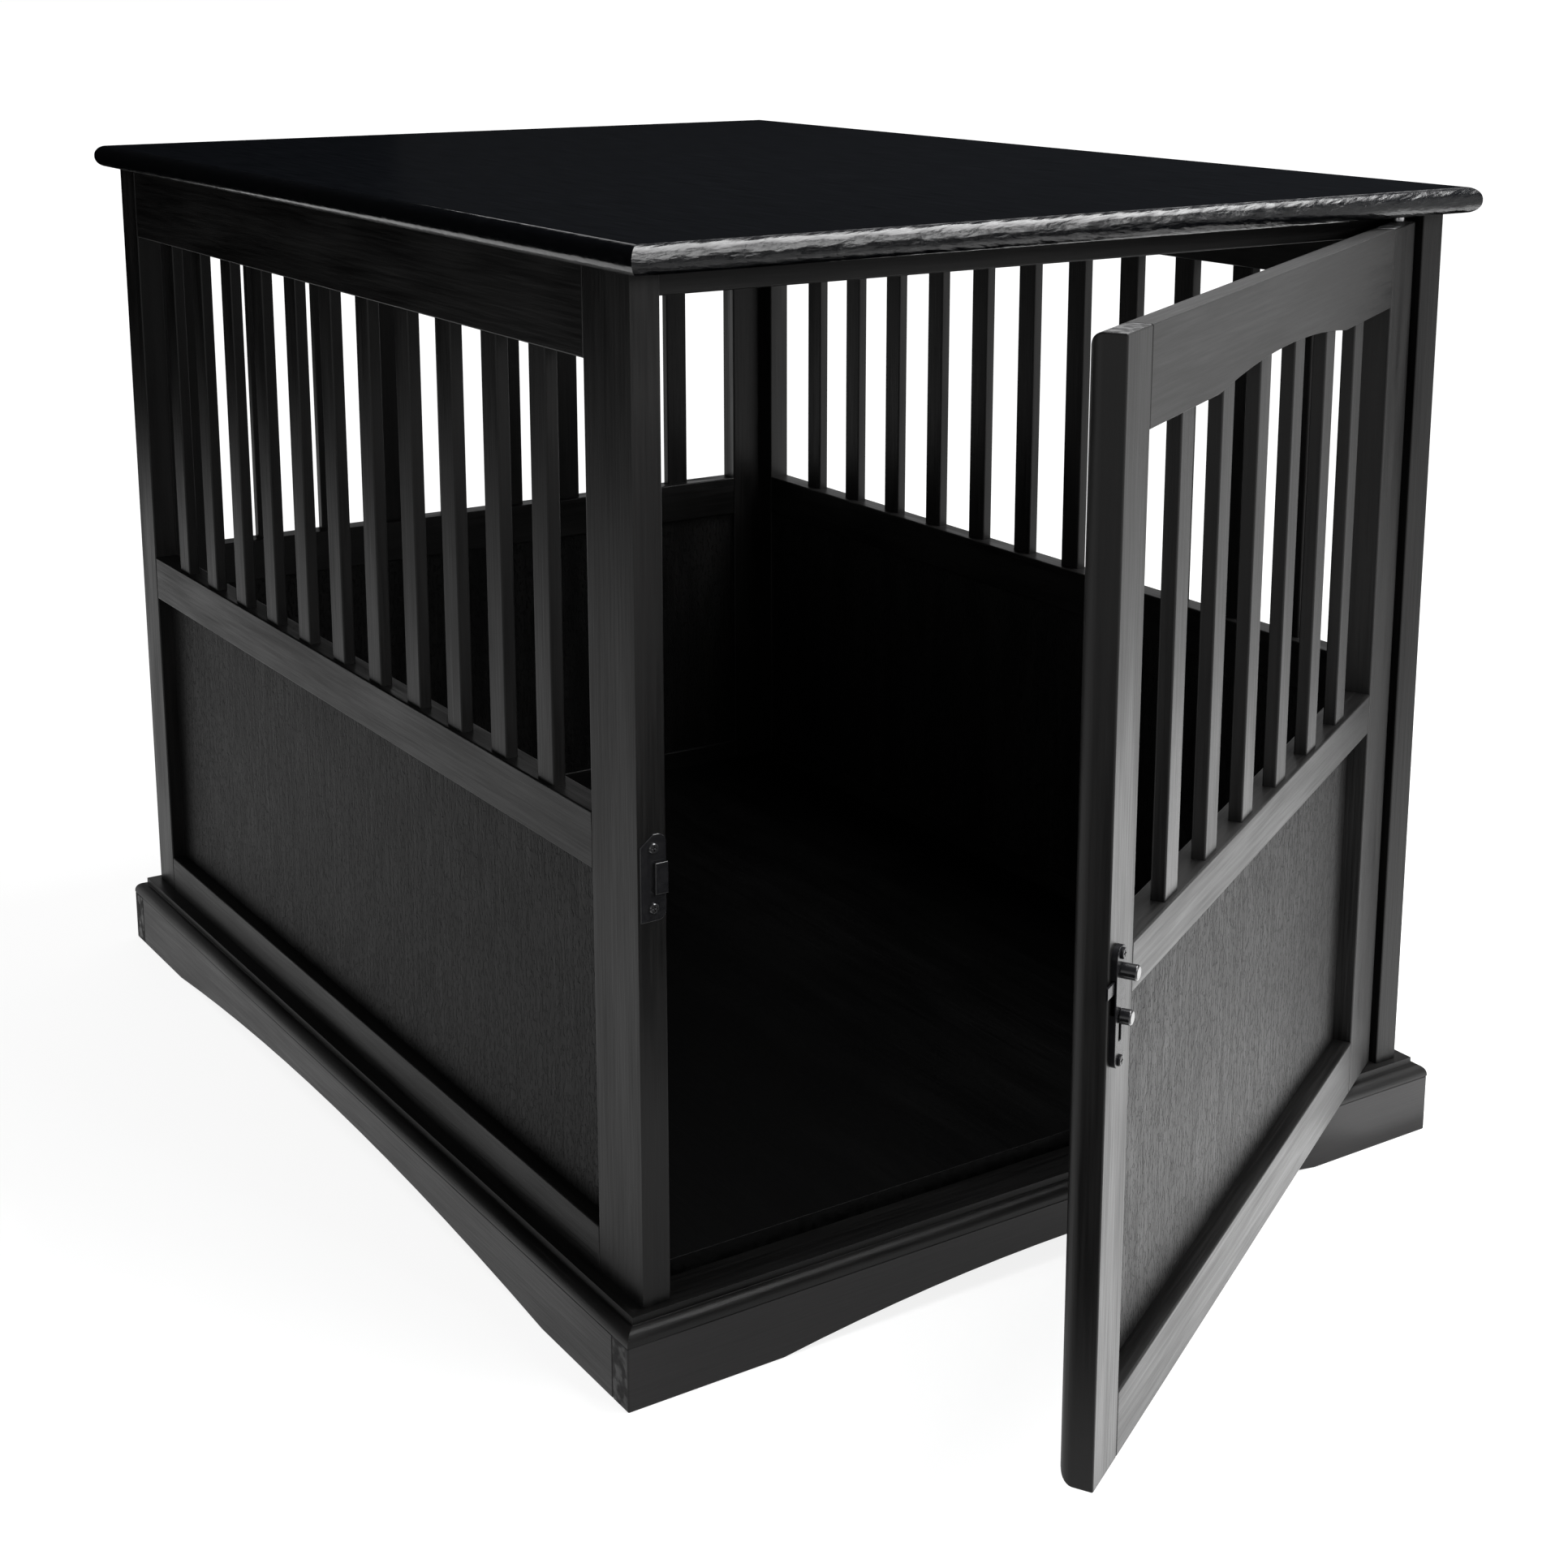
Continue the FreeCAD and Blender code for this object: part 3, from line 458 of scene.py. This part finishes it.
def eased_mesh(node):
    """The mesh of a CAD piece with whole flat faces, and with its open edges rounded over."""
    mesh = bmesh.new()
    mesh.from_mesh(frame["nodes"][node].data)
    bmesh.ops.remove_doubles(mesh, verts=mesh.verts, dist=WELD)
    bmesh.ops.dissolve_limit(mesh, angle_limit=FLAT, verts=mesh.verts, edges=mesh.edges)
    mesh.normal_update()
    if ease_of(node):
        bmesh.ops.bevel(mesh, geom=open_edges(mesh, node), offset=ease_of(node), segments=EASE_STEPS,
                        profile=ROUND_PROFILE, affect="EDGES", clamp_overlap=True)
    data = bpy.data.meshes.new(f"{node}_painted")
    mesh.to_mesh(data)
    mesh.free()
    data.shade_smooth()
    data.set_sharp_from_angle(angle=SMOOTH)
    return data


def painted(node):
    """The piece that stands for a CAD piece with eased edges or its own faces to paint."""
    piece = bpy.data.objects.new(f"{node}_painted", eased_mesh(node))
    bpy.context.scene.collection.objects.link(piece)
    piece.modifiers.new("face_normals", "WEIGHTED_NORMAL").keep_sharp = True
    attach(piece, BODIES[node])
    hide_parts(node)
    return piece


def dress():
    for node, source in frame["nodes"].items():
        piece = painted(node) if ease_of(node) or edges_top(node) else source
        piece.data.materials.clear()
        piece.data.materials.append(finish_of(node))
        if edges_top(node):
            piece.data.materials.append(finish_of("top_panel"))
            for face in piece.data.polygons:
                face.material_index = int(face.normal.z > LEVEL)


# Studio
def make_camera():
    camera = bpy.data.objects.new("camera", bpy.data.cameras.new("camera"))
    camera.location = CAMERA_PLACE
    camera.rotation_euler = (math.pi / 2 - CAMERA_PITCH, 0, -CAMERA_YAW)
    camera.data.lens = CAMERA_LENS
    camera.data.shift_y = CAMERA_SHIFT
    camera.data.clip_end = CAMERA_REACH
    bpy.context.scene.collection.objects.link(camera)
    bpy.context.scene.camera = camera


def shown_rays(tree):
    """1 for rays that show the background: the camera's, and those of gloss and glass."""
    path = add(tree, "ShaderNodeLightPath").outputs
    gloss = maths(tree, "MAXIMUM", path["Is Glossy Ray"], path["Is Transmission Ray"])
    return maths(tree, "MAXIMUM", path["Is Camera Ray"], gloss)


def staged(name, corners, material):
    """A flat stage piece through its corners."""
    data = bpy.data.meshes.new(name)
    data.from_pydata(corners, [], [tuple(range(len(corners)))])
    data.materials.append(material)
    piece = bpy.data.objects.new(name, data)
    bpy.context.scene.collection.objects.link(piece)
    return piece


def floor_material():
    material = bpy.data.materials.new("studio_floor")
    tree = emptied_tree(material)
    spot = add(tree, "ShaderNodeNewGeometry").outputs["Position"]
    away = add(tree, "ShaderNodeVectorMath", {0: spot}, operation="LENGTH").outputs["Value"]
    glow = ranged(tree, away, FLOOR_GLOW_SPAN, FLOOR_GLOW)
    shown = maths(tree, "MULTIPLY", shown_rays(tree), glow)
    matt = add(tree, "ShaderNodeBsdfDiffuse", {"Color": FLOOR_TONE})
    shine = add(tree, "ShaderNodeEmission", {"Color": WHITE, "Strength": shown})
    both = add(tree, "ShaderNodeAddShader", {0: matt.outputs[0], 1: shine.outputs[0]})
    add(tree, "ShaderNodeOutputMaterial", {"Surface": both.outputs[0]})
    return material


def make_floor():
    r = FLOOR_REACH
    staged("studio_floor", [(-r, -r, 0), (r, -r, 0), (r, r, 0), (-r, r, 0)], floor_material())


def painted_reflection_material(name, glow):
    material = bpy.data.materials.new(name)
    tree = emptied_tree(material)
    shine = add(tree, "ShaderNodeEmission", {"Color": WHITE, "Strength": glow})
    add(tree, "ShaderNodeOutputMaterial", {"Surface": shine.outputs[0]})
    return material


def painted_reflection(name, glow, corners):
    """A stage piece that only gloss sees: a painted reflection."""
    piece = staged(name, corners, painted_reflection_material(name, glow))
    piece.visible_camera = False
    piece.visible_diffuse = False
    piece.visible_shadow = False


def make_painted_reflections():
    painted_reflection("back_dark_reflection", DARK_REFLECTION_GLOW, [(x, BACK_REFLECTION_Y, z) for x, z in BACK_REFLECTION_CORNERS])
    painted_reflection("front_dark_reflection", DARK_REFLECTION_GLOW, [(x, y, CARD_LIFT) for x, y in FRONT_REFLECTION_CORNERS])
    painted_reflection("right_dark_reflection", DARK_REFLECTION_GLOW, [(RIGHT_REFLECTION_X, y, z) for y, z in RIGHT_REFLECTION_CORNERS])
    painted_reflection("floor_bright_reflection", BRIGHT_REFLECTION_GLOW, [(x, y, CARD_LIFT) for x, y in FLOOR_REFLECTION_CORNERS])


def make_world():
    world = bpy.data.worlds.new("studio")
    bpy.context.scene.world = world
    tree = emptied_tree(world)
    direction = add(tree, "ShaderNodeTexCoord").outputs["Generated"]
    height = add(tree, "ShaderNodeSeparateXYZ", {0: direction}).outputs["Z"]
    climb = ranged(tree, height, BACKDROP_SPAN)
    backdrop = add(tree, "ShaderNodeBackground", {"Color": toned(tree, climb, WHITE, BACKDROP_TOP)})
    fill = add(tree, "ShaderNodeBackground", {"Color": WHITE, "Strength": WORLD_FILL})
    shares = {0: shown_rays(tree), 1: fill.outputs[0], 2: backdrop.outputs[0]}
    mixed = add(tree, "ShaderNodeMixShader", shares)
    add(tree, "ShaderNodeOutputWorld", {"Surface": mixed.outputs[0]})


def softbox(name, place, aim, width, height, radiance):
    lamp = bpy.data.lights.new(name, "AREA")
    lamp.shape = "RECTANGLE"
    lamp.size = width
    lamp.size_y = height
    lamp.energy = radiance * math.pi * width * height
    holder = bpy.data.objects.new(name, lamp)
    holder.location = place
    holder.rotation_euler = (Vector(aim) - Vector(place)).to_track_quat("-Z", "Y").to_euler()
    holder.visible_camera = False
    bpy.context.scene.collection.objects.link(holder)


def make_lights():
    for name, settings in SOFTBOXES.items():
        softbox(name, *settings)


dress()
make_camera()
make_floor()
make_painted_reflections()
make_world()
make_lights()
bpy.context.scene.view_settings.view_transform = "Standard"
